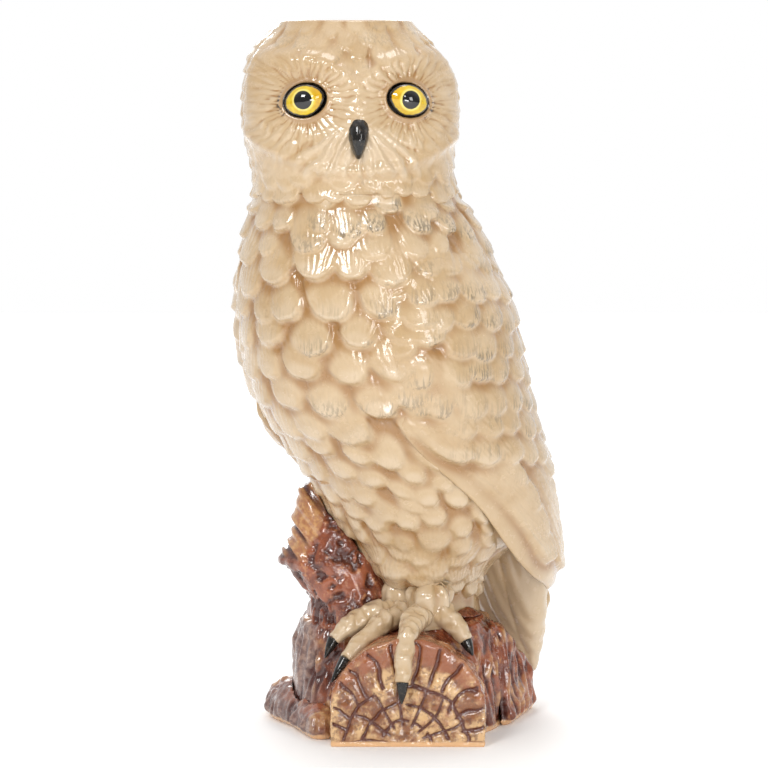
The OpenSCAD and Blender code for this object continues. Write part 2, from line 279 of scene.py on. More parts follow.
class Plumage:
    """Feathers laid on a shell. Each overlaps the ones below it, like a shingle. height is
    how far they stand out, barbs is their fine ribs, and the other grids are for the glaze."""

    def __init__(self, shell, radius):
        self.shell, self.radius = shell, radius
        shape = shell.Z.shape
        self.height = np.full(shape, -1.0)
        self.tip = np.zeros(shape)
        self.brush = np.zeros(shape)
        self.tint = np.zeros(shape)
        self.barbs = np.zeros(shape)
        grain = np.stack([shell.PHI * 1.3, shell.Z, 0 * shell.Z], -1)
        self.ragged = layered(grain, (2.4, 2.4, 1), 11)

    def lay(self, z, phi, wide, long, lean=0.0, lift=4.6, dome=1.6, barbs=9, point=0.55,
            barb=0.15, painted=0.0, tint=0.0):
        """One feather with its tip at a height and angle. lean turns its tip, in degrees,
        from straight down towards greater angles. lift is how far the tip stands off, dome
        how round it is, point how long its round end is, barbs and barb how many ribs it has
        and how deep, and painted how much grey its tip gets."""
        shell = self.shell
        reach = long + wide
        rows = np.nonzero(np.abs(shell.z - z) < reach)[0]
        around = np.interp(z, shell.z, self.radius) * math.pi / 180
        gap = (shell.phi - phi + 180) % 360 - 180
        columns = np.nonzero(np.abs(gap) * around < reach)[0]
        if not len(rows) or not len(columns):
            return
        block = np.ix_(rows, columns)
        u = gap[columns][None, :] * around
        dz = (shell.z[rows] - z)[:, None]
        a = math.radians(lean)
        b = -(u * math.sin(a) - dz * math.cos(a))
        x = u * math.cos(a) + dz * math.sin(a)
        half = wide / 2
        round_l = wide * point
        inside = np.clip(b / round_l, 0, 1)
        outline = half * np.sqrt(np.clip(1 - (1 - inside) ** 2, 0, 1))
        outline = outline * (1 - 0.25 * np.clip((b - round_l) / long, 0, 1))
        edge = np.minimum(outline - np.abs(x), b * 1.2) + 0.35 * self.ragged[block]
        fan = np.arctan2(x, b + long * 0.45)
        grooves = np.cos(fan * barbs * 6.0 + self.ragged[block] * 0.9)
        fade = np.clip(1 - b / long, 0, 1)
        h = lift * fade + dome * (1 - (x / half) ** 2) * (0.35 + 0.65 * fade)
        h = np.where((edge > -0.7) & (b < long), h * ease(-0.7, 1.5, edge), -1.0)
        won = h > self.height[block]
        tip = ease(15.0, 2.0, b) * ease(-0.6, 0.6, edge)
        for grid, value in (
            (self.height, h), (self.tip, tip), (self.brush, painted * tip),
            (self.tint, tint + 0 * h), (self.barbs, barb * grooves * ease(-0.5, 1.5, edge)),
        ):
            grid[block] = np.where(won, value, grid[block])


def rows_of(low, high, pitch):
    """Heights of feather rows from low to high. pitch gives the spacing at a height."""
    z = low
    while z < high:
        yield z
        z += pitch(z)


# ---- the body's feathers -----------------------------------------------------------

SHELL_STEP, SHELL_COLUMNS = 0.9, 540

body = Shell("body_casting", SEAM_LOW, SEAM_NECK, SHELL_STEP, SHELL_COLUMNS, SIDE, FACING)
body_outer = blur(body.cast("body_casting"), 5.5, 7.0)
body_inner = blur(body.cast("body_casting", outer=False), 6.0, 8.0)
body_radius = body_outer.mean(axis=1)


def body_pitch(z):
    """The spacing of the body's feather rows: wide on the breast, close below and above."""
    return 9.5 + 7.5 * float(ease(115, 185, z)) - 5.5 * float(ease(250, 298, z))


def lay_body():
    """Rows of feathers, large on the breast and small on the belly and the neck. Those on
    the owl's left carry more grey paint."""
    down = Plumage(body, body_radius)
    for count, z in enumerate(rows_of(76, 309, body_pitch)):
        wide = 17 + 12.5 * ease(115, 180, z) - 7.0 * ease(255, 298, z)
        girth = np.interp(z, body.z, body_radius) * math.tau
        many = int(girth / (wide * 0.84))
        start = (count % 2) * 180 / many + rng.uniform(-5, 5)
        strong = 0.7 + 0.3 * float(ease(115, 180, z))
        for i in range(many):
            phi = (start + i * 360 / many + rng.normal(0, 2.6)) % 360
            off = (phi + 180) % 360 - 180
            size = rng.uniform(0.78, 1.22)
            slump = 3.0 * math.sin(math.radians(phi * 2.0 + 40)) + rng.normal(0, 2.8)
            shown = rng.choice([0.0, 0.25, 0.6, 1.0]) * (0.2 + 0.8 * (off > 15))
            down.lay(
                z + slump, phi, wide * size, body_pitch(z) * 2.4 * size,
                lean=float(np.clip(off * 0.12, -14, 14)) + rng.normal(0, 8),
                lift=5.6 * strong * rng.uniform(0.8, 1.2), dome=3.0 * strong,
                barbs=rng.uniform(8, 12), point=rng.uniform(0.5, 0.72),
                painted=shown * float(ease(150, 185, z)), tint=rng.uniform(-1, 1),
            )
    return down


body_down = lay_body()


def finish_plumage(down, soften=1.0):
    """Rounds a plumage off as glaze does, and returns its height and its hollows."""
    height = blur(np.maximum(down.height, 0), soften, soften)
    wide = blur(height, 6.0, 7.0)
    barbs = blur(down.barbs, 0.4, 0.4)
    relief = height - 0.75 * wide - 0.9 + barbs
    return relief, np.clip((wide - blur(height, 1.5, 2.4)) / 2.0, -1, 1)


body_relief, body_hollow = finish_plumage(body_down)

# ---- wings -------------------------------------------------------------------------

PRIMARIES, SECONDARIES = 10, 7     # long feathers that reach the tip, and those over them
COVERTS = 9                        # feathers in each row on the shoulder
COVERT_PITCH = 15.5                # between those rows
WING_REACH = 75.0                  # a wing's usual distance from the body's middle
WING_LEAST = 62.0                 # and its least
SOFT_TOP, SOFT_LOW = 200, 168      # between these heights the front edge comes free

cloak = Shell("body_casting", 50.0, 290.0, SHELL_STEP, SHELL_COLUMNS, SIDE, FACING)


def wing_outline(name, which):
    """A wing's inner and outer distances, and its front and back angles at each height."""
    inner, outer = cloak.cast(name, outer=False), cloak.cast(name)
    hit = np.isfinite(outer)
    turned = np.where(which > 0, cloak.PHI, (360 - cloak.PHI) % 360)
    front = np.where(hit, turned, 999).min(axis=1)
    back = np.where(hit, turned, -999).max(axis=1)
    used = hit.any(axis=1)
    span = np.nonzero(used)[0]
    rows = slice(span[0], span[-1] + 1)
    front, back = front[rows], back[rows]
    m = blur_matrix(len(front), 3.5, False)
    front, back = m @ front, m @ back
    return rows, blur(inner[rows], 4, 5), blur(outer[rows], 4, 5), front, back


def wing_merge(z, top, from_front):
    """How far a wing stands out of the breast's feathers: 0 along its shoulder."""
    soft = ease(SOFT_LOW, SOFT_TOP, z)
    along = ease(0, 30, from_front) * soft + (1 - soft)
    return along * ease(0, 34, top - z)


def lay_wing(which, tip_z, tip_phi):
    """Long feathers that run to the tip, then coverts in rows over the shoulder."""
    down = Plumage(cloak, np.interp(cloak.z, body.z, body_radius))
    down.radius = np.maximum(down.radius, WING_LEAST)

    def turn(phi):
        return phi if which > 0 else 360 - phi

    for i in range(PRIMARIES):
        t = i / (PRIMARIES - 1)
        down.lay(
            tip_z + 6 + 118 * t ** 1.15, turn(tip_phi + 8 - 30 * t + 12 * t * t), 17,
            120 - 46 * t, lean=which * (36 - 14 * t), lift=3.4, dome=1.2, barbs=22, barb=0.2,
            point=1.3, painted=0.25 * (t > 0.2), tint=rng.uniform(-1, 1),
        )
    for i in range(SECONDARIES):
        t = i / (SECONDARIES - 1)
        down.lay(
            tip_z + 16 + 96 * t, turn(tip_phi - 14 - 44 * t), 18, 96 - 20 * t,
            lean=which * (40 - 8 * t), lift=4.4, dome=1.2, barbs=22, barb=0.2, point=1.0,
            painted=0.2, tint=rng.uniform(-1, 1),
        )
    for count, z in enumerate(rows_of(158, 292, lambda z: COVERT_PITCH)):
        for i in range(COVERTS):
            phi = 40 + (i + 0.5 * (count % 2)) * 118 / COVERTS + rng.normal(0, 1.5)
            lean = which * (10 + 16 * float(ease(215, 160, z))) + rng.normal(0, 5)
            if z < 178 and phi < 62:
                continue
            size = rng.uniform(0.9, 1.15)
            down.lay(
                z + rng.normal(0, 2.2) - 6 * ease(60, 150, phi), turn(phi), 25 * size, 38 * size,
                lean=lean, lift=5.0, dome=2.0, barbs=rng.uniform(7, 10),
                point=rng.uniform(0.5, 0.66), painted=rng.choice([0.3, 0.7, 1.0]),
                tint=rng.uniform(-1, 1),
            )
    return down


def sample_at(shell, grid, z, phi):
    """Reads a shell's grid at heights and angles."""
    return sample(grid, shell.row(z), shell.column(phi))


def wing(name, which, tip_z, tip_phi, swell, material):
    """A closed wing over its CAD node, whose top slides under the body's feathers. which is
    1 for the owl's left and -1 for its right. Returns where the wing lies."""
    rows, inner, outer, front, back = wing_outline(name, which)
    down = lay_wing(which, tip_z, tip_phi)
    relief, hollow = finish_plumage(down)
    z = cloak.z[rows]
    s = np.linspace(0, 1, 150)
    Z, S = np.meshgrid(z, s, indexing="ij")
    bevel = 0.5 - 0.5 * np.cos(math.pi * S)
    spread = 0.7 * S + 0.3 * bevel
    angle = front[:, None] + (back - front)[:, None] * spread
    phi = angle if which > 0 else 360 - angle
    around = np.radians(1) * WING_REACH
    from_front = (angle - front[:, None]) * around
    from_back = (back[:, None] - angle) * around
    merge = wing_merge(Z, z[-1], from_front)
    edge = np.minimum(from_front + 40 * ease(SOFT_LOW, SOFT_TOP, Z), from_back)
    edge = np.minimum(edge, Z - z[0] + 0.6)
    crisp = np.sqrt(np.clip(1 - (1 - np.clip(edge / 3.2, 0, 1)) ** 2, 0, 1))
    local = cloak.row(Z) - rows.start
    r_in = sample(inner, local, cloak.column(phi))
    r_out = sample(outer, local, cloak.column(phi))
    own = sample_at(cloak, relief, Z, phi)
    skin_z = np.clip(Z, SEAM_LOW, SEAM_NECK)
    skin = sample_at(body, body_outer + body_relief, skin_z, phi)
    lift = (r_out - r_in - 0.7) * crisp
    full = r_in + 0.9 + lift + (own + swell) * (0.35 + 0.65 * crisp)
    top = full * merge + (skin - 1.6) * (1 - merge)
    outside = cloak.place(Z, phi, top)
    inside = cloak.place(Z, phi, np.minimum(r_in, top - 0.4))
    ring = np.concatenate([outside, inside[:, ::-1]], axis=1)
    if which < 0:
        ring = ring[:, ::-1]

    def both(values, blank=0.0):
        pair = np.concatenate([values, np.full_like(values, blank)], axis=1)
        return pair if which > 0 else pair[:, ::-1]

    def mixed(grid, other):
        mine = sample_at(cloak, grid, Z, phi)
        return merge * mine + (1 - merge) * sample_at(body, other, skin_z, phi)

    marks = {
        "hollow": both(mixed(hollow, body_hollow)), "tip": both(mixed(down.tip, body_down.tip)),
        "brush": both(mixed(down.brush, body_down.brush)),
        "tint": both(mixed(down.tint, body_down.tint)),
    }
    faces = stack_faces(len(z), ring.shape[1], closed=False)
    make(name + "_feathers", ring.reshape(-1, 3), faces, material, marks, name)
    return rows, front, back


# ---- glazes ------------------------------------------------------------------------

class Nodes:
    """Builds a material's node tree with short calls."""

    def __init__(self, name):
        self.material = bpy.data.materials.new(name)
        self.material.use_nodes = True
        self.tree = self.material.node_tree
        self.shader = self.tree.nodes["Principled BSDF"]

    def feed(self, socket, value):
        if hasattr(value, "is_output"):
            self.tree.links.new(value, socket)
        elif isinstance(value, tuple) and len(value) == 3 and socket.type == "RGBA":
            socket.default_value = (*value, 1)
        else:
            socket.default_value = value

    def add(self, kind, out=0, settings=None, **inputs):
        """Adds a node and returns one of its outputs. i0, i1 and so on are inputs by number,
        and the others go by name, with _ for a space."""
        node = self.tree.nodes.new("ShaderNode" + kind)
        for key, value in (settings or {}).items():
            setattr(node, key, value)
        for key, value in inputs.items():
            key = key.replace("_", " ")
            by_number = key[0] == "i" and key[1:].isdigit()
            self.feed(node.inputs[int(key[1:]) if by_number else key], value)
        return node.outputs[out]

    def mark(self, name):
        """What the mesh says about each point, such as how deep in a hollow it lies."""
        return self.add("Attribute", out="Fac", settings={"attribute_name": name})

    def maths(self, how, a, b=0.0, c=0.0):
        return self.add("Math", settings={"operation": how}, i0=a, i1=b, i2=c)

    def between(self, value, low, high, to_low=0.0, to_high=1.0):
        """A smooth step from to_low, where value is low, to to_high, where it is high."""
        return self.add("MapRange", settings={"interpolation_type": "SMOOTHSTEP"}, i0=value,
                        i1=low, i2=high, i3=to_low, i4=to_high)

    def mix(self, amount, a, b, how="MIX"):
        node = self.tree.nodes.new("ShaderNodeMix")
        node.data_type = "RGBA"
        node.blend_type = how
        self.feed(node.inputs[0], amount)
        self.feed(node.inputs[6], a)
        self.feed(node.inputs[7], b)
        return node.outputs[2]

    def where(self):
        return self.add("TexCoord", out="Object")

    def stretched(self, x, y, z):
        return self.add("Mapping", Vector=self.where(), Scale=(x, y, z))

    def noise(self, scale, detail=3.0, rough=0.55, at=None):
        return self.add("TexNoise", Vector=at or self.where(), Scale=scale, Detail=detail,
                        Roughness=rough)

    def finish(self, colour, roughness, bump=None, strength=0.3, distance=0.0004,
               coat=0.6, coat_roughness=0.03):
        """Sets the shader up as pottery under a clear glaze, and returns the material."""
        self.feed(self.shader.inputs["Base Color"], colour)
        self.feed(self.shader.inputs["Roughness"], roughness)
        self.shader.inputs["IOR"].default_value = 1.5
        self.shader.inputs["Coat Weight"].default_value = coat
        self.shader.inputs["Coat Roughness"].default_value = coat_roughness
        self.shader.inputs["Coat IOR"].default_value = 1.55
        if bump is not None:
            node = self.add("Bump", Height=bump, Strength=strength, Distance=distance)
            self.feed(self.shader.inputs["Normal"], node)
            self.feed(self.shader.inputs["Coat Normal"], node)
        return self.material


def feather_glaze():
    """Cream glaze: ochre where it pools between feathers, grey strokes on painted tips."""
    g = Nodes("feather_glaze")
    hollow, tip, brush, tint = (g.mark(m) for m in ("hollow", "tip", "brush", "tint"))
    cloudy = g.noise(38.0, 4.0)
    streaks = g.noise(1.0, 3.0, 0.6, at=g.stretched(750.0, 750.0, 95.0))
    cream = g.mix(g.between(cloudy, 0.35, 0.68), (0.565, 0.41, 0.245), (0.48, 0.32, 0.16))
    # Each feather's tint lightens it at random. The tail's tint is set to the lightest, and there
    # this lightening is painted light.
    cream = g.mix(g.maths("MULTIPLY", g.between(tint, -1.0, 1.0), 0.25), cream,
                  (0.62, 0.48, 0.31))
    ochre = g.mix(g.between(hollow, 0.0, 0.6), cream, (0.35, 0.185, 0.066))
    # Lighter cream where the surface stands proud of its neighbours. The tail's lowered hollow
    # mark gives it this colour all over, and there it is painted light.
    proud_and_painted_light = g.mix(g.between(hollow, -0.1, -0.6, 0.0, 0.45), ochre, (0.66, 0.53, 0.375))
    dabs = g.between(g.noise(70.0, 2.0), 0.36, 0.52)
    strokes = g.maths("MULTIPLY", g.between(streaks, 0.44, 0.58), dabs)
    paint = g.maths("MULTIPLY", g.maths("MULTIPLY", brush, strokes), 0.95)
    worn = g.mix(paint, proud_and_painted_light, (0.23, 0.18, 0.115))
    faint = g.maths("MULTIPLY", g.between(streaks, 0.58, 0.72), g.maths("MULTIPLY", tip, 0.25))
    faded = g.mix(faint, worn, (0.34, 0.23, 0.12))
    colour = g.mix(g.between(g.mark("ink"), 0.3, 0.8), faded, (0.02, 0.016, 0.012))
    rough = g.between(g.noise(160.0), 0.3, 0.7, 0.16, 0.30)
    return g.finish(colour, rough, bump=g.noise(700.0, 3.0), strength=0.25, distance=0.0002)


def bark_glaze():
    """Red-brown glaze, tan on split wood, grey on the weathered side, bare at the foot."""
    g = Nodes("bark_glaze")
    hollow, tone = g.mark("hollow"), g.mark("tone")
    blotch = g.noise(55.0, 5.0, 0.65)
    speck = g.noise(330.0, 3.0, 0.6)
    base = g.mix(g.between(blotch, 0.36, 0.62), (0.32, 0.090, 0.036), (0.14, 0.034, 0.017))
    base = g.mix(g.between(speck, 0.56, 0.68, 0.0, 0.7), base, (0.50, 0.22, 0.09))
    tan = g.mix(g.between(speck, 0.4, 0.62), (0.52, 0.28, 0.12), (0.36, 0.15, 0.065))
    mixed = g.mix(g.between(tone, 0.0, 0.75), base, tan)
    grey = g.mix(g.between(g.mark("grey"), 0.0, 1.0), mixed,
                 g.mix(g.between(speck, 0.4, 0.6), (0.30, 0.20, 0.17), (0.14, 0.085, 0.08)))
    deep = g.mix(g.between(hollow, 0.0, 0.8), grey, (0.075, 0.018, 0.012))
    bare = g.mix(g.between(g.mark("foot"), 0.0, 1.0), deep, (0.72, 0.42, 0.21))
    rough = g.between(speck, 0.3, 0.7, 0.14, 0.34)
    return g.finish(bare, rough, bump=g.noise(450.0, 4.0, 0.65), strength=0.2, distance=0.0004)


def wood_glaze():
    """Tan glaze mottled with brown, dark in the rings and cracks, redder near the bark."""
    g = Nodes("wood_glaze")
    hollow, tone = g.mark("hollow"), g.mark("tone")
    blotch = g.noise(75.0, 4.0, 0.6)
    speck = g.noise(380.0, 3.0, 0.6)
    tan = g.mix(g.between(blotch, 0.40, 0.58), (0.68, 0.43, 0.21), (0.24, 0.09, 0.035))
    tan = g.mix(g.between(speck, 0.5, 0.64, 0.0, 0.6), tan, (0.12, 0.04, 0.018))
    red = g.mix(g.between(tone, 0.0, 1.0, 0.0, 0.75), tan, (0.32, 0.095, 0.035))
    deep = g.mix(g.between(hollow, 0.05, 0.6), red, (0.11, 0.025, 0.012))
    bare = g.mix(g.between(g.mark("foot"), 0.0, 1.0), deep, (0.74, 0.44, 0.22))
    rough = g.between(speck, 0.3, 0.7, 0.12, 0.30)
    return g.finish(bare, rough, bump=g.noise(500.0, 4.0, 0.6), strength=0.4, distance=0.0004)


def black_glaze():
    """Black glaze, a little worn, for the beak and the claws."""
    g = Nodes("black_glaze")
    worn = g.noise(420.0, 3.0)
    colour = g.mix(g.between(worn, 0.5, 0.72), (0.012, 0.011, 0.010), (0.05, 0.04, 0.03))
    g.shader.inputs["Specular IOR Level"].default_value = 0.2
    return g.finish(colour, g.between(worn, 0.3, 0.7, 0.10, 0.2), bump=g.noise(260.0),
                    strength=0.2, distance=0.0002, coat=0.55)


def eye_glaze():
    """Hand-painted iris: its marks say how far out and how near the beak a point is."""
    g = Nodes("eye_glaze")
    out, inner = g.mark("out"), g.mark("inner")
    wobble = g.noise(420.0, 2.0)
    around = g.maths("ADD", out, g.maths("MULTIPLY", g.maths("SUBTRACT", wobble, 0.5), 0.10))
    yellow = g.mix(g.between(g.noise(230.0, 3.0), 0.35, 0.65), (0.72, 0.52, 0.010),
                   (0.60, 0.38, 0.008))
    amber = g.mix(g.between(inner, 0.25, 1.0, 0.0, 0.6), yellow, (0.62, 0.27, 0.01))
    pale = g.mix(g.between(g.mark("pupil"), 1.32, 1.08, 0.0, 0.75), amber, (0.87, 0.75, 0.22))
    lined = g.mix(g.between(around, 0.88, 0.94), pale, (0.010, 0.008, 0.006))
    colour = g.mix(g.between(g.mark("pupil"), 1.06, 0.96), lined, (0.006, 0.006, 0.006))
    return g.finish(colour, g.between(wobble, 0.3, 0.7, 0.05, 0.09),
                    bump=g.noise(300.0, 2.0), strength=0.1, distance=0.0001)


FEATHER, BARK, WOOD, BLACK, IRIS = (
    feather_glaze(), bark_glaze(), wood_glaze(), black_glaze(), eye_glaze()
)

# ---- the wings and the body --------------------------------------------------------

TUFT, TUFT_Z, TUFT_PHI = 9.5, 88, 19   # the belly's tufts stand out over the legs
INSIDE_SKIP = 6                        # the plain inside needs only every sixth row

left = wing("left_wing", 1, 80.0, 132.0, -1.6, FEATHER)
right = wing("right_wing", -1, 62.0, 172.0, 3.2, FEATHER)


def under_wings(shell):
    """1 where a wing lies over the body, easing to 0 at the wing's edges."""
    cover = np.zeros(shell.Z.shape)
    for which, (rows, front, back) in ((1, left), (-1, right)):
        z = cloak.z[rows]
        turned = shell.PHI if which > 0 else (360 - shell.PHI) % 360
        f = np.interp(shell.z, z, front)[:, None]
        b = np.interp(shell.z, z, back)[:, None]
        merge = wing_merge(shell.Z, z[-1], (turned - f) * np.radians(1) * WING_REACH)
        inside = ease(0.5, 3.0, turned - f) * ease(0.5, 3.0, b - turned)
        cover = np.maximum(cover, inside * ease(0.3, 0.7, merge) * ease(0, 4, shell.Z - z[0]))
    return cover


def build_body():
    """The feathered casting, hollow, tucked in where the wings lie over it."""
    cover = under_wings(body)
    relief = body_relief * ease(SEAM_LOW - 1, SEAM_LOW + 14, body.Z)
    ahead = (body.PHI + 180) % 360 - 180 - TUFT_PHI
    tufts = np.exp(-((body.Z - TUFT_Z) / 10) ** 2 - (ahead / 36) ** 2)
    relief += TUFT * tufts
    neck = ease(RUFF_LOW - 2, RUFF_LOW + 3, body.Z)
    relief = relief * (1 - neck) - 0.9 * neck
    radius = body_outer + relief
    tucked = np.minimum(radius, body_outer - 0.6)
    radius = radius * (1 - cover) + tucked * cover
    outside = body.place(body.Z, body.PHI, radius)
    z_in = body.z[::-INSIDE_SKIP]
    z_in = np.append(z_in[z_in > SEAM_LOW + 1], SEAM_LOW)
    Zi, Pi = np.meshgrid(z_in, body.phi, indexing="ij")
    inside = body.place(Zi, Pi, sample_at(body, body_inner, Zi, Pi))
    ring = np.concatenate([outside, inside])
    blank = np.zeros(Zi.shape)
    marks = {
        "hollow": np.concatenate([body_hollow, blank]),
        "tip": np.concatenate([body_down.tip, blank]),
        "brush": np.concatenate([body_down.brush * (1 - cover), blank]),
        "tint": np.concatenate([body_down.tint, blank]),
    }
    faces = stack_faces(len(ring), ring.shape[1], closed=True)
    make("breast_and_back", ring.reshape(-1, 3), faces, FEATHER, marks, "body_casting")


build_body()

# ---- the head ----------------------------------------------------------------------

HEAD_STEP, HEAD_COLUMNS = 0.8, 500
HEAD_PITCH = 7.5             # between rows of the crown's feathers
FAN_Z = 352                  # the chin's bristles fan out from here
EYE_TILT = 0.28              # how far the lids tilt down to the beak
LID_WIDE, LID_TALL = 11.2, 8.6

head = Shell("head_casting", RUFF_LOW, RIM, HEAD_STEP, HEAD_COLUMNS, HEAD_SIDE, HEAD_FRONT)


def build_head():
    """The feathered crown and back, the face, the lids, the mouth and the ruff, hollow. All
    of it is one height field over the casting, smoothed over the sockets."""
    raw = np.where(head.Z < SEAM_NECK, head.cast("body_casting"), head.cast("head_casting"))
    flat = head.place(head.Z, head.PHI, raw)
    x = (flat[..., :2] - CROWN) @ HEAD_SIDE - FACE_X
    frontal = np.cos(np.radians(head.PHI)) > 0
    sockets = frontal & (np.hypot(np.abs(x) - EYE_GAP / 2, head.Z - EYE_Z) < SOCKET_R)
    raw[sockets] = np.nan
    outer = blur(raw, 4.5, 6.0)
    hollow_cast = head.cast("head_casting", outer=False)
    hollow_cast[head.Z < SEAM_NECK] = np.nan
    inner = blur(hollow_cast, 4.0, 6.0)
    radius = outer.mean(axis=1)

    down = Plumage(head, radius)
    for count, z in enumerate(rows_of(302.5, 398, lambda z: HEAD_PITCH)):
        many = int(np.interp(z, head.z, radius) * math.tau / 12.5)
        for i in range(many):
            phi = (i + 0.5 * (count % 2)) * 360 / many + rng.normal(0, 2)
            ruff = float(ease(326, 312, z))
            down.lay(
                z + rng.normal(0, 1 + 1.8 * ruff), phi,
                (14 + 4 * ruff) * rng.uniform(0.8, 1.25), 19, lean=rng.normal(0, 9),
                lift=2.7, dome=1.0, barbs=6, barb=0.14, point=0.6,
                painted=rng.choice([0, 0, 0.35]), tint=rng.uniform(-1, 1),
            )
    relief, hollow = finish_plumage(down, 0.7)

    # Places on the face: x across it, and distances and angles from the nearer eye.
    Z = head.Z
    base = head.place(Z, head.PHI, outer)
    x = (base[..., :2] - CROWN) @ HEAD_SIDE - FACE_X
    ax = np.abs(x)
    ahead = np.cos(np.radians(head.PHI))
    ex, ez = ax - EYE_GAP / 2, Z - EYE_Z
    dist = np.hypot(ex, ez * 1.05)
    turn = np.arctan2(ez, ex)

    # A disc of fine plumes round each eye, a moustache by the beak and bristles under it.
    face = ease(0.10, 0.42, ahead) * ease(313, 321, Z)
    brow_line = 365.5 + 17.5 * (1 - np.exp(-ax / 13)) - 16 * ease(44, 60, ax)
    face = face * ease(2.5, -2.5, Z - brow_line)
    grain = np.stack([turn * 9, dist / 7, np.sign(x) * 9], -1)
    plumes = np.cos(turn * 34 + 2.2 * noise(grain, 1.0, 5)) * 0.55
    plumes = plumes + noise(grain * 3, 1.2, 6) * 0.35
    plumes = plumes * ease(11.5, 15, dist) * (0.65 + 0.35 * ease(44, 16, dist))
    fan = np.arctan2(x, FAN_Z - Z)
    bristles = np.cos(fan * 30 + 1.5 * noise(np.stack([fan * 8, Z / 8, 0 * Z], -1), 1.0, 7))
    moustache = np.exp(-((ax - 9 - 0.35 * (338 - Z)) / 9) ** 2)
    moustache = moustache * ease(314, 322, Z) * ease(346, 336, Z)
    low_face = np.maximum(moustache, 0.75 * ease(341, 331, Z) * ease(38, 24, ax))
    shape = 0.62 * plumes * (1 - 0.8 * low_face) + bristles * low_face
    shape = shape + 2.0 * moustache

    # The larger forms: brows, hollows round the eyes, cheeks, the bridge and the lids.
    under_brow = np.where(Z < brow_line, 9.0, 4.0)
    brow = np.exp(-((Z - brow_line) / under_brow) ** 2) * ease(0.1, 0.4, ahead)
    disc = -2.6 * np.exp(-(dist / 20) ** 2)
    cheek = 1.8 * np.exp(-((dist - 27) / 9) ** 2) * ease(0.2, -0.4, np.sin(turn))
    bridge = 2.8 * np.exp(-(x / 8.5) ** 2) * ease(336, 346, Z) * ease(368, 352, Z)
    level = 0.96 * ex - EYE_TILT * ez
    upright = 0.96 * ez + EYE_TILT * ex
    oval = np.hypot(level / LID_WIDE, upright / LID_TALL)
    lids = 1.5 * np.exp(-((oval - 1.16) / 0.13) ** 2) - 3.0 * ease(1.08, 0.8, oval)
    forms = (disc + cheek + bridge + lids) * ease(0.1, 0.35, ahead)
    relief = relief * (1 - face) + face * shape + 3.0 * brow + forms
    rim = 2.0 * np.exp(-((Z - 319 - 0.006 * x * x) / 3.5) ** 2) * ease(0.0, 0.4, ahead)
    relief = relief + rim
    relief = blur(relief, 0.5, 0.5) * ease(RIM + 1, RIM - 9, Z) * 0.95
    aside = np.sin(np.radians(head.PHI))
    relief += ease(362, 386, Z) * np.where(aside < 0, -4.0 * aside, -2.0 * aside)
    hem = ease(RUFF_LOW + 5, RUFF_LOW, Z)
    relief = relief * (1 - hem) - 1.2 * hem + 0.8 * ease(312, 304, Z) * (1 - hem)

    # What the glaze needs to know: hollows, and the black paint on lids and lashes.
    hollow = hollow * (1 - face) + face * np.clip(-shape * 0.9 - 0.1, -1, 1)
    hollow = hollow + 0.5 * ease(22, 10, dist) * ease(0.2, 0.5, ahead)
    lashes = ease(1.75, 1.1, oval) * ease(0.0, -0.35, plumes)
    lashes = lashes * ease(-0.3, 0.7, np.cos(turn - 0.3))
    ink = np.maximum(ease(1.13, 1.04, oval), lashes) * ease(0.2, 0.5, ahead)

    # Rings from the ruff up the outside, over the lip, down the bore and the inside.
    outside = head.place(Z, head.PHI, outer + relief)
    top = outer[-1] + relief[-1]
    lip = []
    for lift, draw in ((0.0, 1.4), (0.0, 0.75), (0.0, 0.3)):
        lip.append(head.place(np.full(len(head.phi), RIM), head.phi,
                              MOUTH_R + (top - MOUTH_R) * draw if draw < 1 else top - 0.8))
    bore = [head.place(np.full(len(head.phi), h), head.phi, np.full(len(head.phi), MOUTH_R + r))
            for h, r in ((RIM - 0.5, 0.5), (RIM - 1.5, 0.0), (RIM - MOUTH_L, 0.0))]
    outside[-1, :, 2] = RIM - 0.5
    z_in = np.append(np.arange(RIM - MOUTH_L - 1, SEAM_NECK + 1, -3.0), SEAM_NECK)
    Zi, Pi = np.meshgrid(z_in, head.phi, indexing="ij")
    inside = head.place(Zi, Pi, sample_at(head, inner, Zi, Pi))
    Zu, Pu = np.meshgrid(np.array([SEAM_NECK, RUFF_LOW + 0.3]), head.phi, indexing="ij")
    under = head.place(Zu, Pu, sample_at(head, outer, Zu, Pu) - 1.6)
    ring = np.concatenate([outside, np.array(lip), np.array(bore), inside, under])
    blank = np.zeros((len(lip) + len(bore) + len(z_in) + len(under), len(head.phi)))
    marks = {
        "hollow": np.concatenate([hollow, blank]),
        "tip": np.concatenate([down.tip * (1 - face), blank]),
        "brush": np.concatenate([down.brush * (1 - face), blank]),
        "ink": np.concatenate([ink, blank]),
        "tint": np.concatenate([down.tint * (1 - face), blank]),
    }
    faces = stack_faces(len(ring), ring.shape[1], closed=True)
    make("head_and_face", ring.reshape(-1, 3), faces, FEATHER, marks, "head_casting")


build_head()

# ---- the eyes ----------------------------------------------------------------------

